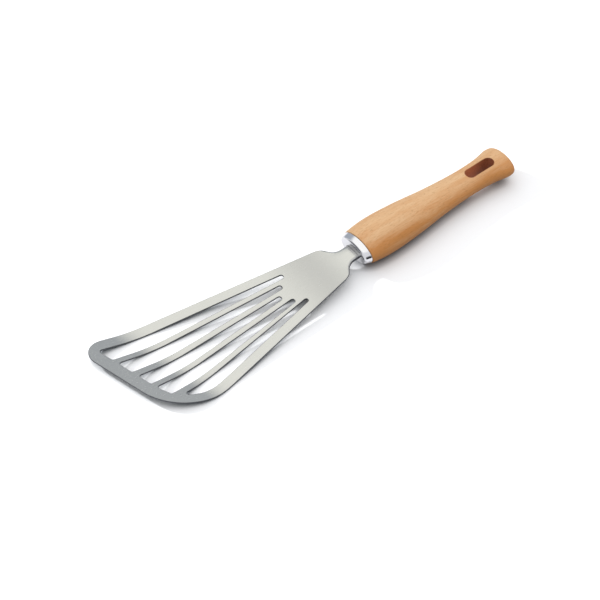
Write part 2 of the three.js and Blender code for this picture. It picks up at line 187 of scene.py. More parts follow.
class CapSizes(bpy.types.PropertyGroup):
    """Sizes of the oval cap between blade and wood"""

    run: length("Length", "Length of the cap", 5.1)
    wall: length("Wall", "Thickness of the cap", 1)
    rear: lengths("Rear", "Half width and half height at the wood", 14.4, 8)
    front: lengths("Front", "Half width and half height at the front", 12.7, 6.6)
    front_round: length("Front round", "Rounding of the front edge", 1.4)
    rear_round: length("Rear round", "Rounding of the edge at the wood", 0.25)
    clearance: length("Clearance", "Gap left where one piece meets another", 0.3)
    crease: turn("Crease", "Bends sharper than this show as edges", 30)
    round_steps: count("Round steps", "Steps in each rounded edge", 6)
    facets: count("Facets", "Facets round the oval", 128)


class HandleSizes(bpy.types.PropertyGroup):
    """Sizes of the wooden handle; each station is a place along it, a half width and a half height"""

    front: lengths("Front", "Station at the cap", 0, 14.8, 8.4)
    swell: lengths("Swell", "Station where the grip swells", 9.2, 15.8, 10.1)
    belly: lengths("Belly", "Station of the widest grip", 20.4, 16, 11)
    taper: lengths("Taper", "Station behind the belly", 40.8, 14.9, 9.9)
    fall: lengths("Fall", "Station before the waist", 67.3, 12.2, 7.9)
    waist: lengths("Waist", "Station of the slimmest grip", 93.8, 10.8, 7)
    rise: lengths("Rise", "Station at the hang slot", 112.2, 11.4, 7.5)
    end: lengths("End", "Station where the butt begins", 123.4, 13.6, 7.2)
    eased_edge: length("Eased edge", "Softened edge of the wood at the cap", 0.5)
    butt_run: length("Butt", "Length of the rounded end", 7.8)
    butt_squareness: number("Butt squareness", "Power of the rounded end: 2 is an ellipse", 4.3)
    butt_turn: turn("Butt turn", "The rounding stops here and a flat closes the end", 85.3)
    slot_x: length("Slot place", "Middle of the hang slot", 107.4)
    slot_run: length("Slot run", "Half the straight length of the hang slot", 8.2)
    slot_radius: length("Slot radius", "Half width of the hang slot", 4.1)
    slot_round: length("Slot round", "Softened rim of the hang slot", 0.35)
    mortise: lengths("Mortise", "End, half width and half height of the mortise", 52, 8.4, 4.1)
    crease: turn("Crease", "Bends sharper than this show as edges", 40)
    station_steps: count("Station steps", "Rings from one station to the next", 9)
    rim_steps: count("Rim steps", "Steps in the softened rim of the slot", 4)
    butt_steps: count("Butt steps", "Rings of the rounded end", 16)
    facets: count("Facets", "Facets round the handle", 128)


class Finishes(bpy.types.PropertyGroup):
    """Colours, gloss and patterns of the surfaces"""

    sheet_steel: colour("Sheet steel", "Satin rolled stainless steel", "#BFBFBC")
    # Painted shade: this darker steel colour stands in for the darker reflection round the shoulder; the span
    # below sets where along X it begins, is darkest and ends.
    painted_shade_steel: colour("Shoulder steel", "Satin steel that the press tool rubbed duller", "#ADADAB")
    painted_shade_span: lengths("Rub", "Where along X the duller steel begins, is dullest and ends", -38, -5, 20)
    sheet_rough: numbers("Sheet roughness", "Least and greatest roughness of the sheet", 0.2, 0.28)
    rolling_marks: lengths("Rolling marks", "Length and width of the rolling marks", 9, 0.5)
    mark_depth: length("Mark depth", "Depth of the rolling marks and of the wood's grain", 0.05)
    # The edge steel's dark colour is partly painted shade, standing in for the dark reflection along the cut
    # edges.
    edge_steel_and_shade: colour("Edge steel", "Cut edge of the sheet", "#585A5E")
    edge_rough: numbers("Edge roughness", "Least and greatest roughness of the cut edge", 0.32, 0.48)
    edge_tears: length("Edge tears", "Size of the tears that the punch leaves", 0.8)
    cap_steel: colour("Cap steel", "Polished stainless steel", "#D6D6DA")
    cap_rough: numbers("Cap roughness", "Least and greatest roughness of the cap", 0.12, 0.19)
    buffing_haze: length("Buffing haze", "Size of the marks in the cap's polish", 1.5)
    beech_pale: colour("Pale beech", "Spring wood", "#DEB78C")
    beech_warm: colour("Warm beech", "Summer wood", "#C98A50")
    beech_fleck: colour("Flecks", "Short rays that show as flecks", "#A06B3C")
    beech_rough: numbers("Beech roughness", "Roughness between the streaks and in them", 0.55, 0.45)
    beech_layers: lengths("Beech layers", "Length and width of the year layers", 60, 6)
    beech_streaks: lengths("Beech streaks", "Length and width of the grain's streaks", 16, 0.6)
    beech_flecks: lengths("Beech flecks", "Length and width of the flecks", 2.6, 0.5)
    streak_strength: number("Streak strength", "Strength of the streaks over the year layers", 0.8)
    grain_span: numbers("Grain span", "Values at which the grain is palest and warmest", 0.65, 1.2)
    grain_warmth: number("Grain warmth", "Part of summer wood in the warmest grain", 0.8)
    fleck_span: numbers("Fleck span", "Noise at which a fleck begins and is full", 0.56, 0.74)
    fleck_strength: number("Fleck strength", "Part of the flecks' colour in a full fleck", 0.4)
    # Painted light and shade: the wood is paler on top and warmer and darker towards the lower near side,
    # standing in for how light falls on the handle; these three set its direction, reach and strength.
    painted_shade_at: direction("Heart at", "Towards the warmer wood at the heart of the tree", 0, -0.8, -0.6)
    painted_shade_reach: length("Heart reach", "From the handle's middle to its warmest side", 10)
    painted_shade_warmth: numbers("Heart warmth", "Warmth on the side away from the heart and towards it", -0.2, 0.7)
    beech_slot: colour("Slot beech", "Oil-soaked end grain at the front of the hang slot", "#D4865C")
    # The darker slot colour and the span and strength below are painted shade: the slot's wall darkens
    # towards its rear end, where shade falls deeper in the slot.
    beech_slot_shade: colour("Dark slot beech", "Oil-soaked end grain at the rear of the hang slot", "#7A4026")
    slot_pores: length("Slot pores", "Size of the end grain's pores", 0.8)
    pore_span: numbers("Pore span", "Noise at which a pore begins and is full", 0.35, 0.7)
    pore_strength: number("Pore strength", "Part of dark oil in a full pore", 0.25)
    slot_shade_span: lengths("Slot oil", "Where along X the darker oil begins and is full", 130, 147)
    slot_shade_strength: number("Oil strength", "Part of dark oil at the slot's rear", 0.6)
    resin: colour("Resin", "Cured epoxy round the tang", "#D8C9A0")
    resin_rough: numbers("Resin roughness", "Least and greatest roughness of the resin", 0.35, 0.5)
    resin_clouds: length("Resin clouds", "Size of the clouding in the resin", 4)


class StageSizes(bpy.types.PropertyGroup):
    """Camera, lamp, studio and table"""

    camera_target: lengths("Camera target", "Point that the camera looks at", -23.54, -9.4, -1.34)
    camera_distance: length("Camera distance", "From the camera to its target", 1020)
    camera_azimuth: turn("Camera azimuth", "Direction of the camera round the turner", -38.854)
    camera_elevation: turn("Camera elevation", "Height of the camera over the table", 49.889)
    camera_roll: turn("Camera roll", "Turn of the camera about its own view", 0.214)
    camera_lens: number("Lens", "Focal length in millimetres on a 36 mm sensor", 94.136)
    table_half: length("Table half", "Half the side of the table", 3000)
    wall_colour: colour("Walls", "White walls round the turner, as polished pieces mirror them", "#DADBDC")
    back_wall_at: direction("Back wall at", "Towards the grey wall behind the turner", 0.42, 0.85, 0.32)
    back_wall_core: turn("Back wall core", "Half angle within which the back wall is full", 30)
    back_wall_edge: turn("Back wall edge", "Half angle at which the back wall has faded", 55)
    back_wall_colour: colour("Back wall", "Cool grey of the wall behind the turner", "#A2A8B0")
    front_flag_at: direction("Front flag at", "Towards the black flag in front", -0.12, -0.96, 0.24)
    front_flag_core: turn("Front flag core", "Half angle within which the front flag is full", 8)
    front_flag_edge: turn("Front flag edge", "Half angle at which the front flag has faded", 20)
    front_flag_colour: colour("Front flag", "Black felt of the front flag", "#26282B")
    side_flag_at: direction("Side flag at", "Towards the grey flag beyond the blade", -0.84, 0.34, 0.42)
    side_flag_core: turn("Side flag core", "Half angle within which the side flag is full", 18)
    side_flag_edge: turn("Side flag edge", "Half angle at which the side flag has faded", 32)
    side_flag_colour: colour("Side flag", "Grey felt of the side flag", "#56585C")
    ceiling_at: direction("Ceiling at", "Towards the broad light overhead", 0.15, 0.15, 0.977)
    ceiling_core: turn("Ceiling core", "Half angle within which the ceiling light is full", 29)
    ceiling_edge: turn("Ceiling edge", "Half angle at which the ceiling light has faded", 42)
    ceiling_colour: colour("Ceiling", "Warm white of the ceiling light", "#FFFFFA")
    studio_shine: number("Studio shine", "Strength of the surroundings in reflections", 1.4)
    soft_at: direction("Soft light at", "Towards the soft light that brightens matt surfaces", 0, 0.15, 0.989)
    soft_core: turn("Soft core", "Half angle within which the soft light is full", 30)
    soft_edge: turn("Soft edge", "Half angle at which the soft light has faded", 76)
    soft_level: number("Soft level", "Strength of the soft light", 1.55)
    dim_level: number("Dim level", "Strength of the surroundings away from the soft light", 0.18)
    lamp_place: lengths("Lamp place", "Place of the lamp that draws the crisp shadow", -780, 1560, 975)
    lamp_size: length("Lamp size", "Side of the small lamp", 90)
    lamp_power: number("Lamp power", "Power of the small lamp in watts", 36)
    table_seen: colour("Table", "Table as the camera and the polished pieces see it", "#F6F7F9")
    # Painted shade: the table's colour turns to this contact shade where a piece lies close over it,
    # deepening the shadows beyond what the lamp and the world give.
    table_painted_contact_shade: colour("Contact shade", "Table where a piece lies close over it", "#59636E")
    contact_reach: length("Contact reach", "Height over the table at which the contact shade ends", 10)
    contact_span: numbers("Contact span", "Open sky at which the contact shade is full and gone", 0.1, 0.7)
    mirror_share: number("Mirror share", "How much of the table's white the polished pieces mirror", 0.8)
    table_bounce: colour("Table bounce", "Table as it throws light back on matt surfaces", "#AAAAAA")


def select_only(kind, test):
    """In edit mode, selects the vertices, edges or faces that pass a test, and nothing else."""
    bpy.ops.mesh.select_mode(type=kind)
    bpy.ops.mesh.select_all(action='DESELECT')
    mesh = bmesh.from_edit_mesh(bpy.context.object.data)
    rows = {'VERT': mesh.verts, 'EDGE': mesh.edges, 'FACE': mesh.faces}[kind]
    for item in rows:
        if test(item):
            item.select_set(True)
    mesh.select_flush_mode()
    bmesh.update_edit_mesh(bpy.context.object.data)


def start_piece(name):
    """Adds an empty mesh object in edit mode, with nothing else selected."""
    bpy.ops.object.select_all(action='DESELECT')
    bpy.ops.object.add(type='MESH', enter_editmode=True)
    bpy.context.object.name = name
    return bpy.context.object


def activate(piece):
    """Makes a piece the one that operators act on, in object mode."""
    if bpy.context.mode != 'OBJECT':
        bpy.ops.object.mode_set(mode='OBJECT')
    bpy.ops.object.select_all(action='DESELECT')
    piece.select_set(True)
    bpy.context.view_layer.objects.active = piece


def round_corner(place, back, ahead, radius, steps):
    """Bevels a loop's corner to an arc, with the profile that puts the arc's middle on the circle."""
    half = back.angle(ahead) / 2
    sag = (1 / math.sin(half) - 1) * math.tan(half) / (2 * math.cos(half))
    select_only('VERT', lambda vertex: (vertex.co.xy - place).length < TOUCH)
    bpy.ops.mesh.bevel(
        offset=radius / math.tan(half), segments=steps, profile=(1 - sag) ** 2, affect='VERTICES')


def add_loop(corners, steps):
    """In edit mode, adds a closed loop of edges through the corners and rounds each that has a radius."""
    bpy.ops.mesh.select_mode(type='VERT')
    bpy.ops.mesh.select_all(action='DESELECT')
    bpy.ops.mesh.primitive_circle_add(vertices=len(corners), fill_type='NOTHING')
    mesh = bmesh.from_edit_mesh(bpy.context.object.data)
    ring = [vertex for vertex in mesh.verts if vertex.select]
    for vertex, (place, radius) in zip(ring, corners):
        vertex.co = (*place, 0)
    bmesh.update_edit_mesh(bpy.context.object.data)
    places = [place for place, radius in corners]
    for i, (place, radius) in enumerate(corners):
        after = places[(i + 1) % len(places)]
        if radius:
            round_corner(place, places[i - 1] - place, after - place, radius, steps)


def cut_row(place, normal, test):
    """In edit mode, cuts the faces that pass a test along a plane."""
    select_only('FACE', test)
    bpy.ops.mesh.bisect(plane_co=place, plane_no=normal)


def apply_modifier(piece, kind, settings):
    """Adds a modifier to the active piece, sets it and applies it."""
    modifier = piece.modifiers.new(kind.title(), kind)
    for name, value in settings.items():
        setattr(modifier, name, value)
    bpy.ops.object.modifier_apply(modifier=modifier.name)


def cut_away(piece, cutter):
    """Cuts a cutter's shape out of a piece, and takes the cutter away."""
    activate(piece)
    apply_modifier(piece, 'BOOLEAN', {"operation": 'DIFFERENCE', "solver": 'EXACT', "object": cutter})
    activate(cutter)
    bpy.ops.object.delete()
    activate(piece)


def lay(piece, matrix):
    """Lays a piece in its place and keeps the place in its mesh."""
    activate(piece)
    piece.matrix_world = matrix
    bpy.ops.object.transform_apply(location=True, rotation=True, scale=True)


def add_finishes(piece, whole, part, finish, test):
    """In edit mode, gives a piece one finish as a whole and another on the faces that pass a test."""
    for surface in (whole, part):
        piece.data.materials.append(make_material(surface, finish))
    select_only('FACE', test)
    piece.active_material_index = 1
    bpy.ops.object.material_slot_assign()


def finish_piece(piece, node):
    """Lets a piece ride with the turner and stand for its solid."""
    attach(piece, "root")
    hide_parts(node)


def close_piece(piece):
    """Turns the faces of the piece in edit mode outwards, and leaves edit mode."""
    bpy.ops.mesh.select_all(action='SELECT')
    bpy.ops.mesh.normals_make_consistent(inside=False)
    bpy.ops.object.mode_set(mode='OBJECT')
    return piece


def loft(name, rings, facets):
    """Extrudes an oval along X through rings of place, half width and half height, and closes both ends."""
    piece = start_piece(name)
    bpy.ops.mesh.primitive_circle_add(vertices=facets, fill_type='NGON', rotation=(0, QUARTER, 0))
    x, half_width, half_height = rings[0]
    bpy.ops.transform.resize(value=(1, half_width, half_height), center_override=(0, 0, 0))
    bpy.ops.transform.translate(value=(x, 0, 0))
    for (x_before, width_before, height_before), (x, half_width, half_height) in zip(rings, rings[1:]):
        bpy.ops.mesh.extrude_region_move(TRANSFORM_OT_translate={"value": (x - x_before, 0, 0)})
        grow = (1, half_width / width_before, half_height / height_before)
        bpy.ops.transform.resize(value=grow, center_override=(x, 0, 0))
    return close_piece(piece)


def prism(name, corners, steps, low, high):
    """Raises a rounded outline along Z from one height to another."""
    piece = start_piece(name)
    add_loop(corners, steps)
    bpy.ops.mesh.select_all(action='SELECT')
    bpy.ops.mesh.edge_face_add()
    bpy.ops.transform.translate(value=(0, 0, low))
    bpy.ops.mesh.extrude_region_move(TRANSFORM_OT_translate={"value": (0, 0, high - low)})
    return close_piece(piece)


def oblong(middle, half_along, half_across):
    """Corners of an outline with round ends, each with its radius."""
    radius = min(half_along, half_across) - TOUCH
    return [
        (Vector((middle + half_along * along, half_across * across)), radius)
        for along, across in ((1, 1), (-1, 1), (-1, -1), (1, -1))]


def quarter_round(radius, steps):
    """Run and inset of each ring of a rounded edge, from the end face to the full width."""
    angles = [QUARTER * i / steps for i in range(steps + 1)]
    return [(radius * (1 - math.cos(angle)), radius * (1 - math.sin(angle))) for angle in angles]


def resting_place(blade, cap):
    """The turn and shift from the turner's own axes to where it lies, read from the frame."""
    normal = Vector(frame["record"]["mounts"][0]["axis"])
    roll = math.atan(math.tan(blade.drop) * math.tan(blade.front_slant))
    slope = math.atan2(math.sin(blade.drop), math.cos(blade.drop) * math.cos(roll))
    pitch = slope - math.atan2(-normal.x, normal.z)
    low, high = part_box("ferrule")
    joint = (low + high) / 2
    joint.x = high.x - cap.rear[1] * abs(math.sin(pitch))
    return Matrix.Translation(joint) @ Matrix.Rotation(pitch, 4, 'Y') @ Matrix.Rotation(roll, 4, 'X')


def meet(point_a, along_a, point_b, along_b):
    """Where two lines cross, each given by a point and a direction."""
    return point_a + along_a * ((point_b - point_a).cross(along_b) / along_a.cross(along_b))


class BladePlan:
    """The blade's outline and slots in the plane of the flat sheet."""

    def __init__(self, sizes):
        self.sizes = sizes
        slant = sizes.front_slant
        self.far_at = Vector((sizes.far_shoulder_x, sizes.shoulder_half))
        self.far_along = Vector((-math.cos(sizes.far_flare), math.sin(sizes.far_flare)))
        self.near_at = Vector((sizes.near_shoulder_x, -sizes.shoulder_half))
        self.near_along = Vector((-math.cos(sizes.near_flare), -math.sin(sizes.near_flare)))
        self.near_inward = Vector((-math.sin(sizes.near_flare), math.cos(sizes.near_flare)))
        self.front_at = Vector((sizes.front_x, 0))
        self.front_along = Vector((-math.sin(slant), math.cos(slant)))
        self.front_inward = Vector((math.cos(slant), math.sin(slant)))
        self.round_centre = meet(
            self.front_at + self.front_inward * sizes.near_corner, self.front_along,
            self.near_at + self.near_inward * sizes.near_corner, self.near_along)
        self.slot_round = sizes.near_corner - sizes.side_rim
        seam = (Vector((sizes.fine_from, 0)), Vector((0, 1)))
        self.far_seam = meet(self.far_at, self.far_along, *seam)
        self.near_seam = meet(self.near_at, self.near_along, *seam)

    def neck_outline(self):
        """Corners of shoulders, neck and tang, each with its radius."""
        sizes = self.sizes
        tang_end = sizes.tang_depth - sizes.bend_x
        return [
            (Vector((tang_end, sizes.neck_half)), sizes.tang_corner),
            (Vector((sizes.far_root_x, sizes.neck_half)), sizes.root_radius),
            (self.far_at, sizes.shoulder_radius),
            (self.far_seam, 0),
            (self.near_seam, 0),
            (self.near_at, sizes.shoulder_radius),
            (Vector((sizes.near_root_x, -sizes.neck_half)), sizes.root_radius),
            (Vector((tang_end, -sizes.neck_half)), sizes.tang_corner),
        ]

    def front_outline(self):
        """Corners of the slotted front, each with its radius."""
        sizes = self.sizes
        return [
            (self.far_seam, 0),
            (meet(self.far_at, self.far_along, self.front_at, self.front_along), sizes.far_corner),
            (meet(self.near_at, self.near_along, self.front_at, self.front_along), sizes.near_corner),
            (self.near_seam, 0),
        ]

    def slot_front(self, y):
        """Front end of a slot at a place across the blade, kept inside the rim of the round corner."""
        rim = self.front_at + self.front_inward * self.sizes.front_rim
        on_line = meet(rim, self.front_along, Vector((0, y)), Vector((1, 0)))
        if y > self.round_centre.y:
            return on_line
        on_round = self.round_centre.x - math.sqrt(self.slot_round ** 2 - (y - self.round_centre.y) ** 2)
        return Vector((max(on_line.x, on_round), y))

    def fan_slot(self, slot):
        """Corners of a slot that widens towards the lip."""
        rear_x, rear_y, front_far_y, front_near_y = slot
        half = self.sizes.slot_width / 2
        rear_radius = half - self.sizes.slot_flat
        return [
            (Vector((rear_x, rear_y + half)), rear_radius),
            (self.slot_front(front_far_y), self.sizes.slot_corner),
            (self.slot_front(front_near_y), self.sizes.slot_corner),
            (Vector((rear_x, rear_y - half)), rear_radius),
        ]

    def last_slot(self):
        """Corners of the slot that follows the near side and the round corner."""
        sizes = self.sizes
        rear_x, rear_far_y, front_far_y = sizes.last_slot
        tip = self.slot_front(front_far_y)
        spoke = (tip - self.round_centre).normalized()
        along_tip = Vector((-spoke.y, spoke.x))
        side_at = self.near_at + self.near_inward * sizes.side_rim
        rear_far = Vector((rear_x, rear_far_y))
        rear_near = meet(rear_far, Vector((0, 1)), side_at, self.near_along)
        rear_radius = (rear_far.y - rear_near.y) / 2 - sizes.slot_flat
        return [
            (rear_far, rear_radius),
            (tip - along_tip * sizes.last_tip_run, sizes.last_tip_radius),
            (meet(tip, along_tip, side_at, self.near_along), self.slot_round),
            (rear_near, rear_radius),
        ]


def smooth_step(value, low, high):
    """Eases from 0 at one value to 1 at another."""
    part = min(max((value - low) / (high - low), 0), 1)
    return part * part * (3 - 2 * part)


def neck_profile(sizes, y):
    """Height of the neck's crowned top over the flat sheet, without its turned-down sides."""
    return sizes.crown - min(abs(y), sizes.neck_half) ** 2 / (2 * sizes.crown_radius)


def flank_profile(sizes, inside):
    """How far the neck's side is turned down at a distance inside its edge."""
    return sizes.flank_drop * (1 - min(max(inside, 0) / sizes.flank_width, 1)) ** 2


def neck_height(sizes, rim, x, y):
    """Height of the sheet's top in the neck and in the hidden tang behind it."""
    full = smooth_step(x, sizes.arch_start, sizes.arch_full)
    turned = smooth_step(x, sizes.flank_start, sizes.flank_full)
    hidden = smooth_step(x, sizes.tang_from, sizes.tang_full)
    inside = min((Vector((x, y)) - nearest_on(edge, x, y)).length for edge in rim)
    neck = full * neck_profile(sizes, y) - turned * flank_profile(sizes, inside)
    tang = (sizes.arch_level ** 2 - y ** 2) / (2 * sizes.arch_radius)
    bent = min(max(x + sizes.bend_run, 0), 2 * sizes.bend_run)
    bend = bent ** 2 / (4 * sizes.bend_run) + max(x - sizes.bend_run, 0)
    return neck + hidden * (tang - neck) - math.tan(sizes.drop) * bend


def nearest_on(edge, x, y):
    """The point of an edge that is nearest to a place."""
    start, end = edge
    along = end - start
    part = (Vector((x, y)) - start).dot(along) / along.length_squared
    return start + along * min(max(part, 0), 1)


def sheet_height(sizes, rim, x, y):
    """Height of the sheet's top over the flat blade: the crowned neck behind, the turned-up lip in front."""
    if x > sizes.arch_start:
        return neck_height(sizes, rim, x, y)
    ahead = -x * math.cos(sizes.front_slant) - y * math.sin(sizes.front_slant) - sizes.lip_start
    bend_end = sizes.lip_radius * math.sin(sizes.lip_angle)
    if ahead <= 0:
        return 0
    if ahead < bend_end:
        return sizes.lip_radius - math.sqrt(sizes.lip_radius ** 2 - ahead ** 2)
    rise = sizes.lip_radius * (1 - math.cos(sizes.lip_angle))
    return rise + (ahead - bend_end) * math.tan(sizes.lip_angle)


def bent_height(sizes, rim, x, y, z):
    """Height of a point of the flat slab once the sheet is bent, with the sheet's thickness kept."""
    top = sheet_height(sizes, rim, x, y)
    slope_x = (sheet_height(sizes, rim, x + TOUCH, y) - top) / TOUCH
    slope_y = (sheet_height(sizes, rim, x, y + TOUCH) - top) / TOUCH
    return top + z * math.hypot(1, slope_x, slope_y)


def is_level(edge):
    """Tells an edge that lies flat from one that stands up."""
    low, high = sorted(vertex.co.z for vertex in edge.verts)
    return high - low < TOUCH


def is_across(edge):
    """Tells an edge that runs straight across the blade, such as the line where two outlines meet."""
    start, end = edge.verts
    return abs(start.co.x - end.co.x) < TOUCH


def cut_bend_rows(sizes):
    """Cuts the flat sheet into rows where the lip bends and where the neck is arched."""
    slant = sizes.front_slant
    inward = Vector((math.cos(slant), math.sin(slant), 0))
    for i in range(sizes.lip_steps + 1):
        ahead = sizes.lip_radius * math.sin(sizes.lip_angle * i / sizes.lip_steps)
        cut_row(inward * -(sizes.lip_start + ahead), inward, lambda face: True)
    cut_row((sizes.arch_start, 0, 0), (1, 0, 0), lambda face: True)
    behind = sizes.arch_start
    run = sizes.arch_full + sizes.bend_run - sizes.arch_start
    for i in range(1, sizes.arch_steps + 1):
        place = (sizes.arch_start + run * i / sizes.arch_steps, 0, 0)
        cut_row(place, (1, 0, 0), lambda face: face.calc_center_median().x > behind)
    for i in range(1, sizes.arch_steps):
        place = (0, sizes.shoulder_half * (2 * i / sizes.arch_steps - 1), 0)
        cut_row(place, (0, 1, 0), lambda face: face.calc_center_median().x > behind)


def cut_sheet(plan, sizes):
    """In edit mode, draws the flat sheet with its slots; returns the edges of shoulders, neck and tang."""
    add_loop(plan.neck_outline(), sizes.corner_steps)
    edges = bmesh.from_edit_mesh(bpy.context.object.data).edges
    rim = [[end.co.xy for end in edge.verts] for edge in edges if not is_across(edge)]
    bpy.ops.mesh.select_all(action='SELECT')
    bpy.ops.mesh.edge_face_add()
    for i in range(sizes.flank_steps):
        bpy.ops.mesh.inset(thickness=sizes.flank_width / sizes.flank_steps)
    add_loop(plan.front_outline(), sizes.corner_steps)
    for slot in (sizes.slot_1, sizes.slot_2, sizes.slot_3, sizes.slot_4):
        add_loop(plan.fan_slot(slot), sizes.corner_steps)
    add_loop(plan.last_slot(), sizes.corner_steps)
    select_only('EDGE', lambda edge: not edge.link_faces)
    bpy.ops.mesh.fill(use_beauty=True)
    bpy.ops.mesh.dissolve_limited(angle_limit=FLAT_ANGLE, use_dissolve_boundaries=False)
    bpy.ops.mesh.select_all(action='SELECT')
    bpy.ops.mesh.remove_doubles(threshold=TOUCH)
    return rim


def thicken_sheet(sizes):
    """In edit mode, gives the selected flat sheet its thickness and rounds its cut edges."""
    bpy.ops.mesh.extrude_region_move(TRANSFORM_OT_translate={"value": (0, 0, -sizes.sheet)})
    bpy.ops.mesh.select_all(action='SELECT')
    bpy.ops.mesh.normals_make_consistent(inside=False)
    select_only('EDGE', lambda edge: edge.calc_face_angle() > QUARTER / 2 and is_level(edge))
    bpy.ops.mesh.bevel(
        offset=sizes.edge_round, segments=sizes.edge_steps, affect='EDGES', loop_slide=False)
    bpy.ops.mesh.select_all(action='SELECT')
    bpy.ops.mesh.quads_convert_to_tris(ngon_method='BEAUTY')


def bend_sheet(piece, sizes, rim):
    """In edit mode, bends the flat slab to its lip, its neck and its tang."""
    mesh = bmesh.from_edit_mesh(piece.data)
    for vertex in mesh.verts:
        vertex.co.z = bent_height(sizes, rim, *vertex.co)
    mesh.normal_update()
    bmesh.update_edit_mesh(piece.data)


class TURNER_OT_blade(bpy.types.Operator):
    """Cuts the slotted sheet, gives it its thickness, arches its neck and turns up its lip"""

    bl_idname = "turner.blade"
    bl_label = "Blade"

    def execute(self, context):
        sizes = context.scene.turner_blade
        piece = start_piece("steel_blade")
        rim = cut_sheet(BladePlan(sizes), sizes)
        thicken_sheet(sizes)
        cut_bend_rows(sizes)
        add_finishes(
            piece, satin_sheet_steel, cut_edge_and_painted_shade, context.scene.turner_finish,
            lambda face: not all(is_level(edge) for edge in face.edges))
        bend_sheet(piece, sizes, rim)
        activate(piece)
        bpy.ops.object.shade_smooth_by_angle(angle=sizes.crease)
        neck = Matrix.Translation((sizes.bend_x, 0, sizes.neck_rise)) @ Matrix.Rotation(-sizes.drop, 4, 'Y')
        lay(piece, resting_place(sizes, context.scene.turner_cap) @ neck)
        finish_piece(piece, "blade")
        return {'FINISHED'}


def cap_half(sizes, x):
    """Half width and half height of the cap's taper at a place along it."""
    part = -x / sizes.run
    return [rear + (front - rear) * part for rear, front in zip(sizes.rear, sizes.front)]


class TURNER_OT_cap(bpy.types.Operator):
    """Draws the oval cap, hollows it and cuts the slot for the neck"""

    bl_idname = "turner.cap"
    bl_label = "Cap"

    def execute(self, context):
        sizes = context.scene.turner_cap
        blade = context.scene.turner_blade
        front = quarter_round(sizes.front_round, sizes.round_steps)
        rear = quarter_round(sizes.rear_round, sizes.round_steps)
        places = [(run - sizes.run, inset) for run, inset in front]
        places += [(-run, inset) for run, inset in reversed(rear)]
        rings = [(x, *[half - inset for half in cap_half(sizes, x)]) for x, inset in places]
        piece = loft("steel_cap", rings, sizes.facets)
        hollow_front = -sizes.run + sizes.wall
        hollow_rings = [
            (hollow_front, *[half - sizes.wall for half in cap_half(sizes, hollow_front)]),
            (sizes.run, *[half - sizes.wall for half in sizes.rear]),
        ]
        cut_away(piece, loft("cap_hollow", hollow_rings, sizes.facets))
        cut_away(piece, neck_slot(blade, sizes))
        bpy.ops.object.shade_smooth_by_angle(angle=sizes.crease)
        lay(piece, resting_place(blade, sizes))
        piece.data.materials.append(make_material(polished_steel, context.scene.turner_finish))
        finish_piece(piece, "ferrule")
        return {'FINISHED'}


def neck_slot(blade, cap):
    """The arched bar that leaves room for the neck in the cap's front."""
    piece = start_piece("neck_slot")
    half = blade.neck_half + cap.clearance
    bpy.ops.mesh.primitive_grid_add(x_subdivisions=1, y_subdivisions=blade.arch_steps, size=2)
    bpy.ops.transform.resize(value=(cap.run, half, 1), center_override=(0, 0, 0))
    bpy.ops.transform.translate(value=(-cap.run, 0, 0))
    mesh = bmesh.from_edit_mesh(piece.data)
    for vertex in mesh.verts:
        turned_down = flank_profile(blade, blade.neck_half - abs(vertex.co.y))
        vertex.co.z = blade.neck_rise + neck_profile(blade, vertex.co.y) - turned_down + cap.clearance
    bmesh.update_edit_mesh(piece.data)
    bpy.ops.object.mode_set(mode='OBJECT')
    activate(piece)
    apply_modifier(piece, 'SOLIDIFY', {"thickness": blade.sheet + 2 * cap.clearance, "offset": -1})
    return piece


def smooth_run(stations, steps):
    """A smooth run of rings through the stations, with centripetal tangents at each."""
    points = [Vector(station) for station in stations]
    chain = [2 * points[0] - points[1], *points, 2 * points[-1] - points[-2]]
    run = []
    for before, start, end, after in zip(chain, chain[1:], chain[2:], chain[3:]):
        gap_a, gap_b, gap_c = [
            math.sqrt((q - p).length) for p, q in ((before, start), (start, end), (end, after))]
        leave = (start - before) / gap_a - (end - before) / (gap_a + gap_b) + (end - start) / gap_b
        arrive = (end - start) / gap_b - (after - start) / (gap_b + gap_c) + (after - end) / gap_c
        handle_a = start + leave * gap_b / 3
        handle_b = end - arrive * gap_b / 3
        run += interpolate_bezier(start, handle_a, handle_b, end, steps + 1)[:-1]
    return [*run, points[-1]]


def handle_rings(sizes, cap):
    """Rings of the tenon in the cap, the eased front edge, the grip and the rounded butt."""
    stations = [
        sizes.front, sizes.swell, sizes.belly, sizes.taper, sizes.fall, sizes.waist, sizes.rise, sizes.end]
    tenon_x = -cap.run + cap.wall + cap.clearance
    tenon = [half - cap.wall - cap.clearance for half in cap_half(cap, tenon_x)]
    rings = [(tenon_x, *tenon), (cap.clearance, *tenon)]
    run = smooth_run(stations, sizes.station_steps)
    grip = [(x + cap.clearance, width, height) for x, width, height in run]
    front_x, front_width, front_height = grip[0]
    for ahead, inset in quarter_round(sizes.eased_edge, cap.round_steps):
        rings.append((front_x + ahead, front_width - inset, front_height - inset))
    rings += grip[1:]
    end_x, end_width, end_height = rings[-1]
    power = 2 / sizes.butt_squareness
    for i in range(1, sizes.butt_steps + 1):
        angle = sizes.butt_turn * i / sizes.butt_steps
        x = end_x + sizes.butt_run * math.sin(angle) ** power
        across = math.cos(angle) ** power
        rings.append((x, end_width * across, end_height * across))
    return rings


def from_slot(sizes, place):
    """Distance of a place from the wall of the hang slot, less than nothing inside the slot."""
    beyond = max(abs(place.x - sizes.slot_x) - sizes.slot_run, 0)
    return math.hypot(beyond, place.y) - sizes.slot_radius


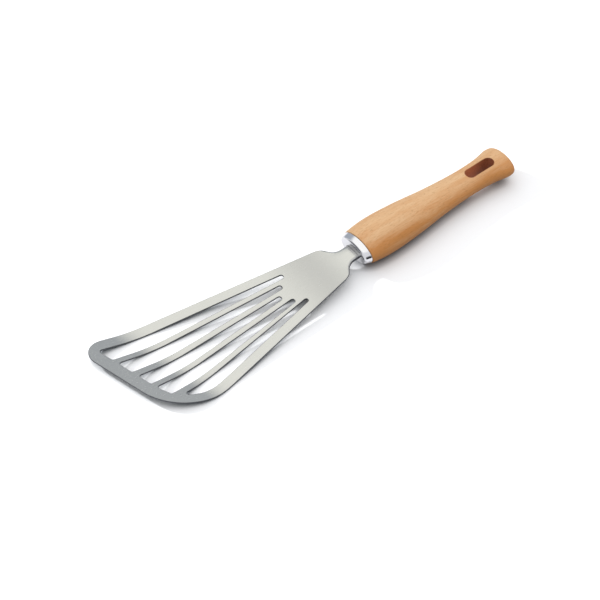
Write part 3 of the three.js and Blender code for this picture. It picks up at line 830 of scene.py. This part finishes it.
def cut_hang_slot(piece, sizes, steps, finish):
    """Cuts the hang slot through the handle, gives its wall a finish of its own and softens its rim."""
    outline = oblong(sizes.slot_x, sizes.slot_run + sizes.slot_radius, sizes.slot_radius)
    reach = 2 * sizes.belly[2]      # past the top and the underside of the widest grip
    cut_away(piece, prism("hang_slot", outline, steps, -reach, reach))
    bpy.ops.object.mode_set(mode='EDIT')
    add_finishes(
        piece, oiled_beech, slot_beech, finish,
        lambda face: from_slot(sizes, face.calc_center_median()) < TOUCH)
    select_only('EDGE', lambda edge: edge.calc_face_angle() > QUARTER / 2 and all(
        abs(from_slot(sizes, vertex.co)) < TOUCH for vertex in edge.verts))
    bpy.ops.mesh.bevel(
        offset=sizes.slot_round, segments=sizes.rim_steps, affect='EDGES', loop_slide=False, material=0)
    bpy.ops.object.mode_set(mode='OBJECT')


def cut_mortise(piece, sizes, steps, start_x):
    """Bores the mortise for the tang, from a place in front of the wood."""
    end_x, half_width, half_height = sizes.mortise
    mortise = prism("mortise", oblong(0, half_height, half_width), steps, start_x, end_x)
    lay(mortise, Matrix.Rotation(QUARTER, 4, 'Y'))
    cut_away(piece, mortise)


class TURNER_OT_handle(bpy.types.Operator):
    """Turns the oval handle, cuts its hang slot and bores its mortise"""

    bl_idname = "turner.handle"
    bl_label = "Handle"

    def execute(self, context):
        sizes = context.scene.turner_handle
        cap = context.scene.turner_cap
        blade = context.scene.turner_blade
        piece = loft("beech_handle", handle_rings(sizes, cap), sizes.facets)
        cut_hang_slot(piece, sizes, blade.corner_steps, context.scene.turner_finish)
        cut_mortise(piece, sizes, blade.corner_steps, start_x=-2 * cap.run)
        bpy.ops.object.shade_smooth_by_angle(angle=sizes.crease)
        lay(piece, resting_place(blade, cap))
        finish_piece(piece, "handle")
        return {'FINISHED'}


class TURNER_OT_resin(bpy.types.Operator):
    """Gives the hidden resin round the tang its finish"""

    bl_idname = "turner.resin"
    bl_label = "Resin"

    def execute(self, context):
        solid = frame["nodes"]["tang_adhesive"]
        solid.data.materials.clear()
        solid.data.materials.append(make_material(cured_resin, context.scene.turner_finish))
        return {'FINISHED'}


def add_node(tree, kind, inputs, **settings):
    """Adds a shader node with its settings. An input is a value, a socket, or a node's first output."""
    node = tree.nodes.new("ShaderNode" + kind)
    for name, value in settings.items():
        setattr(node, name, value)
    for socket, value in inputs.items():
        if isinstance(value, bpy.types.Node):
            value = value.outputs[0]
        if isinstance(value, bpy.types.NodeSocket):
            tree.links.new(value, node.inputs[socket])
        else:
            node.inputs[socket].default_value = value
    return node


def make_material(surface, values):
    """A material that is named for the function which draws its surface."""
    material = bpy.data.materials.new(surface.__name__)
    material.use_nodes = True
    tree = material.node_tree
    tree.nodes.clear()
    add_node(tree, 'OutputMaterial', {"Surface": surface(tree, values)})
    return material


def mottled(tree, mark, roughness, look, detail):
    """A surface of one colour, with a gloss that varies in marks of a given size."""
    place = add_node(tree, 'TexCoord', {}).outputs["Object"]
    marks = add_node(tree, 'TexNoise', {"Vector": place, "Scale": 1 / mark, "Detail": detail})
    least, greatest = roughness
    rough = add_node(tree, 'MapRange', {**NOISE_SPAN, "Value": marks, "To Min": least, "To Max": greatest})
    return add_node(tree, 'BsdfPrincipled', {**look, "Roughness": rough})


def streaks(tree, place, size, settings):
    """Noise that is drawn out along X, in streaks of a given length and width."""
    run, width = size
    stretched = add_node(tree, 'Mapping', {"Vector": place, "Scale": (1 / run, 1 / width, 1 / width)})
    return add_node(tree, 'TexNoise', {"Vector": stretched, "Scale": 1, **settings})


def satin_sheet_steel(tree, finish):
    """Cold-rolled stainless sheet with a satin finish: a soft, even sheen and faint lengthwise marks, with
    painted shade round the shoulder.
    """
    place = add_node(tree, 'TexCoord', {}).outputs["Object"]
    # Real rolling marks are finer, and are drawn as coarse as they need to be to show.
    marks = streaks(tree, place, finish.rolling_marks, {"Detail": 4, "Roughness": 0.6})
    least, greatest = finish.sheet_rough
    rough = add_node(tree, 'MapRange', {**NOISE_SPAN, "Value": marks, "To Min": least, "To Max": greatest})
    bump = add_node(tree, 'Bump', {"Strength": 0.12, "Distance": finish.mark_depth, "Height": marks})
    # Painted shade: the base colour darkens round the shoulder along X, standing in for a darker reflection
    # there.
    along = add_node(tree, 'SeparateXYZ', {"Vector": place}).outputs["X"]
    front, middle, rear = finish.painted_shade_span
    from_tines, from_neck = [
        add_node(tree, 'MapRange', {
            "Value": along, "From Min": end, "From Max": middle}, interpolation_type='SMOOTHSTEP')
        for end in (front, rear)]
    shaded = add_node(tree, 'Math', {0: from_tines, 1: from_neck}, operation='MULTIPLY')
    steel = add_node(tree, 'Mix', {
        MIX_PART: shaded, MIX_FIRST: finish.sheet_steel, MIX_SECOND: finish.painted_shade_steel}, data_type='RGBA')
    return add_node(tree, 'BsdfPrincipled', {
        "Base Color": steel.outputs[MIX_COLOUR], "Metallic": 1.0, "Roughness": rough, "Normal": bump})


def cut_edge_and_painted_shade(tree, finish):
    """Blanked and tumbled edge of the sheet: torn by the punch, so duller than the faces, and darker in
    colour as painted shade for the dark reflection along the edges.
    """
    # Real tears are finer, and are drawn as coarse as they need to be to show.
    look = {"Base Color": finish.edge_steel_and_shade, "Metallic": 1.0}
    return mottled(tree, finish.edge_tears, finish.edge_rough, look, detail=3)


def polished_steel(tree, finish):
    """Buffed stainless steel: clear reflections with a trace of buffing haze."""
    look = {"Base Color": finish.cap_steel, "Metallic": 1.0}
    return mottled(tree, finish.buffing_haze, finish.cap_rough, look, detail=3)


def oiled_beech(tree, finish):
    """Steamed beech, turned, sanded and oiled: pale pinkish brown with fine lengthwise grain and flecks."""
    place = add_node(tree, 'TexCoord', {}).outputs["Object"]
    # Real pores are finer than the streaks, which are drawn as coarse as they need to be to show.
    layer = streaks(tree, place, finish.beech_layers, {"Detail": 3, "Roughness": 0.5})
    streak = streaks(tree, place, finish.beech_streaks, {"Detail": 4, "Roughness": 0.6})
    fleck = streaks(tree, place, finish.beech_flecks, {"Detail": 1})
    # Painted light and shade: the colour is paler on top and warmer towards the lower near side, and this is
    # added to the grain's own warmth.
    inward = add_node(tree, 'VectorMath', {0: place, 1: finish.painted_shade_at}, operation='DOT_PRODUCT')
    coolest, warmest = finish.painted_shade_warmth
    painted_shade = add_node(tree, 'MapRange', {
        "Value": inward.outputs["Value"], "From Min": -finish.painted_shade_reach, "From Max": finish.painted_shade_reach,
        "To Min": coolest, "To Max": warmest}, interpolation_type='SMOOTHSTEP')
    drawn = add_node(tree, 'Math', {0: streak, 1: finish.streak_strength, 2: layer}, operation='MULTIPLY_ADD')
    palest, darkest = finish.grain_span
    grain = add_node(tree, 'MapRange', {
        "Value": drawn, "From Min": palest, "From Max": darkest, "To Max": finish.grain_warmth}, clamp=False)
    grain_and_shade = add_node(tree, 'Math', {0: grain, 1: painted_shade}, operation='ADD', use_clamp=True)
    wood = add_node(tree, 'Mix', {
        MIX_PART: grain_and_shade, MIX_FIRST: finish.beech_pale, MIX_SECOND: finish.beech_warm}, data_type='RGBA')
    begins, full = finish.fleck_span
    spots = add_node(tree, 'MapRange', {
        "Value": fleck, "From Min": begins, "From Max": full, "To Max": finish.fleck_strength})
    flecked = add_node(tree, 'Mix', {
        MIX_PART: spots, MIX_FIRST: wood.outputs[MIX_COLOUR],
        MIX_SECOND: finish.beech_fleck}, data_type='RGBA')
    dull, glossy = finish.beech_rough
    rough = add_node(tree, 'MapRange', {**NOISE_SPAN, "Value": streak, "To Min": dull, "To Max": glossy})
    bump = add_node(tree, 'Bump', {"Strength": 0.2, "Distance": finish.mark_depth, "Height": streak})
    return add_node(tree, 'BsdfPrincipled', {
        "Base Color": flecked.outputs[MIX_COLOUR], "Roughness": rough, "IOR": 1.45,
        "Specular IOR Level": 0.25, "Normal": bump})


def slot_beech(tree, finish):
    """Milled end grain in the hang slot: it drinks more oil than the faces, so it is darker and redder;
    towards the slot's rear it is darker still, as painted shade.
    """
    place = add_node(tree, 'TexCoord', {}).outputs["Object"]
    pore = add_node(tree, 'TexNoise', {"Vector": place, "Scale": 1 / finish.slot_pores, "Detail": 3})
    begins, full = finish.pore_span
    pores = add_node(tree, 'MapRange', {
        "Value": pore, "From Min": begins, "From Max": full, "To Max": finish.pore_strength})
    # Painted shade: the slot's wall darkens towards its rear end along X, standing in for the shade deeper in
    # the slot.
    along = add_node(tree, 'SeparateXYZ', {"Vector": place}).outputs["X"]
    front, rear = finish.slot_shade_span
    rearward = add_node(tree, 'MapRange', {
        "Value": along, "From Min": front, "From Max": rear,
        "To Max": finish.slot_shade_strength}, interpolation_type='SMOOTHSTEP')
    dark = add_node(tree, 'Math', {0: pores, 1: rearward}, operation='ADD', use_clamp=True)
    wood = add_node(tree, 'Mix', {
        MIX_PART: dark, MIX_FIRST: finish.beech_slot, MIX_SECOND: finish.beech_slot_shade}, data_type='RGBA')
    return add_node(tree, 'BsdfPrincipled', {
        "Base Color": wood.outputs[MIX_COLOUR], "Roughness": 0.6, "IOR": 1.5})


def cured_resin(tree, finish):
    """Cured epoxy, cast in the mortise: a dull amber solid with faint clouding."""
    look = {"Base Color": finish.resin, "IOR": 1.55}
    return mottled(tree, finish.resin_clouds, finish.resin_rough, look, detail=2)


def white_table(tree, sizes):
    """Matt white table, lit to plain white for the camera, so that only the shadows show on it."""
    ray = add_node(tree, 'LightPath', {}).outputs
    mirrored = add_node(tree, 'Math', {
        0: ray["Is Glossy Ray"], 1: ray["Is Transmission Ray"]}, operation='ADD', use_clamp=True)
    seen = add_node(tree, 'Math', {
        0: mirrored, 1: sizes.mirror_share,
        2: ray["Is Camera Ray"]}, operation='MULTIPLY_ADD', use_clamp=True)
    # Painted shade: where little open sky is left near a piece, the table's colour darkens towards the
    # contact shade colour.
    open_sky = add_node(tree, 'AmbientOcclusion', {"Distance": sizes.contact_reach})
    darkest, gone = sizes.contact_span
    lit = add_node(tree, 'MapRange', {"Value": open_sky.outputs["AO"], "From Min": darkest, "From Max": gone})
    shade = add_node(tree, 'Mix', {
        MIX_PART: lit, MIX_FIRST: sizes.table_painted_contact_shade, MIX_SECOND: sizes.table_seen}, data_type='RGBA')
    white = add_node(tree, 'BsdfDiffuse', {"Color": shade.outputs[MIX_COLOUR]})
    matt = add_node(tree, 'BsdfDiffuse', {"Color": sizes.table_bounce})
    return add_node(tree, 'MixShader', {0: seen, 1: matt, 2: white})


def add_lamp(name, place, size, power, lit):
    """A square lamp that faces the turner and lights one object alone."""
    lamp = bpy.data.lights.new(name, 'AREA')
    lamp.size = size
    lamp.energy = power
    holder = bpy.data.objects.new(name, lamp)
    holder.location = place
    holder.rotation_euler = (-Vector(place)).to_track_quat('-Z', 'Y').to_euler()
    bpy.context.scene.collection.objects.link(holder)
    receivers = bpy.data.collections.new(name)
    receivers.objects.link(lit)
    holder.light_linking.receiver_collection = receivers


def within_cone(tree, place, towards, core, edge, outside=0, inside=1):
    """A value that changes softly from the edge of a cone round a direction to the cone's core."""
    near = add_node(tree, 'VectorMath', {
        0: place, 1: Vector(towards).normalized()}, operation='DOT_PRODUCT')
    return add_node(tree, 'MapRange', {
        "Value": near.outputs["Value"], "From Min": math.cos(edge), "From Max": math.cos(core),
        "To Min": outside, "To Max": inside}, interpolation_type='SMOOTHSTEP')


def studio_world(sizes):
    """White studio with a soft light overhead; steel mirrors a bright ceiling, a grey wall and two flags."""
    world = bpy.data.worlds.new("studio")
    world.use_nodes = True
    tree = world.node_tree
    tree.nodes.clear()
    ray = add_node(tree, 'LightPath', {}).outputs
    place = add_node(tree, 'TexCoord', {}).outputs["Generated"]
    mirrored = sizes.wall_colour
    for towards, core, edge, tint in (
            (sizes.back_wall_at, sizes.back_wall_core, sizes.back_wall_edge, sizes.back_wall_colour),
            (sizes.front_flag_at, sizes.front_flag_core, sizes.front_flag_edge, sizes.front_flag_colour),
            (sizes.side_flag_at, sizes.side_flag_core, sizes.side_flag_edge, sizes.side_flag_colour),
            (sizes.ceiling_at, sizes.ceiling_core, sizes.ceiling_edge, sizes.ceiling_colour)):
        part = within_cone(tree, place, towards, core, edge)
        patch = add_node(tree, 'Mix', {
            MIX_PART: part, MIX_FIRST: mirrored, MIX_SECOND: tint}, data_type='RGBA')
        mirrored = patch.outputs[MIX_COLOUR]
    shine = add_node(tree, 'Background', {"Color": mirrored, "Strength": sizes.studio_shine})
    strength = within_cone(
        tree, place, sizes.soft_at, sizes.soft_core, sizes.soft_edge,
        outside=sizes.dim_level, inside=sizes.soft_level)
    soft = add_node(tree, 'Background', {"Color": WHITE, "Strength": strength})
    studio = add_node(tree, 'MixShader', {0: ray["Is Glossy Ray"], 1: soft, 2: shine})
    plain_white = add_node(tree, 'Background', {"Color": WHITE, "Strength": 1.0})
    seen = add_node(tree, 'Math', {
        0: ray["Is Camera Ray"], 1: ray["Is Transmission Ray"]}, operation='ADD', use_clamp=True)
    both = add_node(tree, 'MixShader', {0: seen, 1: studio, 2: plain_white})
    add_node(tree, 'OutputWorld', {"Surface": both})
    return world


def add_camera(sizes):
    """A camera that looks at its target from a direction, a height and a distance."""
    camera = bpy.data.cameras.new("camera")
    camera.lens = sizes.camera_lens
    holder = bpy.data.objects.new("camera", camera)
    level = math.cos(sizes.camera_elevation)
    back = Vector((
        level * math.sin(sizes.camera_azimuth),
        -level * math.cos(sizes.camera_azimuth),
        math.sin(sizes.camera_elevation)))
    facing = (-back).to_track_quat('-Z', 'Y') @ Quaternion((0, 0, 1), sizes.camera_roll)
    holder.location = Vector(sizes.camera_target) + back * sizes.camera_distance
    holder.rotation_euler = facing.to_euler()
    bpy.context.scene.collection.objects.link(holder)
    return holder


class TURNER_OT_stage(bpy.types.Operator):
    """Sets the table, the lamp, the surroundings and the camera"""

    bl_idname = "turner.stage"
    bl_label = "Stage"

    def execute(self, context):
        sizes = context.scene.turner_stage
        scene = context.scene
        scene.view_settings.view_transform = 'Standard'
        bpy.ops.object.select_all(action='DESELECT')
        bpy.ops.mesh.primitive_plane_add(size=2 * sizes.table_half)
        table = context.object
        table.name = "table"
        table.data.materials.append(make_material(white_table, sizes))
        scene.world = studio_world(sizes)
        add_lamp("side_lamp", sizes.lamp_place, sizes.lamp_size, sizes.lamp_power, table)
        scene.camera = add_camera(sizes)
        return {'FINISHED'}


class TURNER_PT_panel(bpy.types.Panel):
    """Lists the turner's pieces and sizes in the sidebar"""

    bl_idname = "TURNER_PT_panel"
    bl_label = "Flexible Turner"
    bl_space_type = 'VIEW_3D'
    bl_region_type = 'UI'
    bl_category = "Turner"

    def draw(self, context):
        layout = self.layout
        for operator in OPERATORS:
            layout.operator(operator.bl_idname)
        for name in GROUPS:
            group = getattr(context.scene, name)
            box = layout.box()
            for prop in group.bl_rna.properties:
                if prop.identifier not in ("rna_type", "name"):
                    box.prop(group, prop.identifier)


GROUPS = {
    "turner_blade": BladeSizes,
    "turner_cap": CapSizes,
    "turner_handle": HandleSizes,
    "turner_finish": Finishes,
    "turner_stage": StageSizes,
}
OPERATORS = (TURNER_OT_blade, TURNER_OT_cap, TURNER_OT_handle, TURNER_OT_resin, TURNER_OT_stage)


def register():
    """Registers the sizes, the operators and the panel."""
    for name, group in GROUPS.items():
        bpy.utils.register_class(group)
        setattr(bpy.types.Scene, name, PointerProperty(type=group))
    for operator in OPERATORS:
        bpy.utils.register_class(operator)
    bpy.utils.register_class(TURNER_PT_panel)


def unregister():
    """Takes the panel, the operators and the sizes away again."""
    bpy.utils.unregister_class(TURNER_PT_panel)
    for operator in reversed(OPERATORS):
        bpy.utils.unregister_class(operator)
    for name, group in GROUPS.items():
        delattr(bpy.types.Scene, name)
        bpy.utils.unregister_class(group)


def main():
    """Builds the turner and its stage."""
    register()
    bpy.ops.turner.blade()
    bpy.ops.turner.cap()
    bpy.ops.turner.handle()
    bpy.ops.turner.resin()
    bpy.ops.turner.stage()


if __name__ == "__main__":
    main()
